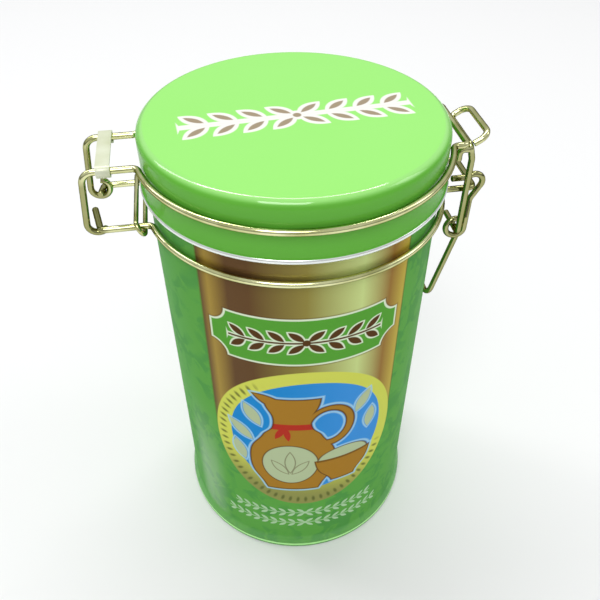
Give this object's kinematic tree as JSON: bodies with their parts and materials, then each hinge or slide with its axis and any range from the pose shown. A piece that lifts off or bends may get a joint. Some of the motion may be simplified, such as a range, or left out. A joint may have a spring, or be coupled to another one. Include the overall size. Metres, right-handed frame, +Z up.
{
  "type": "clip-top tin canister",
  "caption": "Tall round food tin with a push-on lid, held shut by bent wires with a hinge at one side and a toggle latch at the other.",
  "frame": {"origin": "on the surface that the tin stands on, at the middle of the whole object's width and depth", "axes": "+Z up along the tin, -Y towards the printed front, -X towards the hinge and +X towards the latch"},
  "size_m": [0.1378, 0.106, 0.1856],
  "materials": {
    "can_print": "printed gloss",
    "lid_enamel": "gloss",
    "pale_brass_wire": "bright",
    "pale_brass_strap": "bright"
  },
  "bodies": {
    "root": {"can": "can_print", "lid": "lid_enamel", "upper_wire": "pale_brass_wire", "lower_wire": "pale_brass_wire", "tie_loop": "pale_brass_wire", "hinge_strap": "pale_brass_strap", "latch_link": "pale_brass_wire", "latch_lever": "pale_brass_wire"}
  },
  "joints": []
}
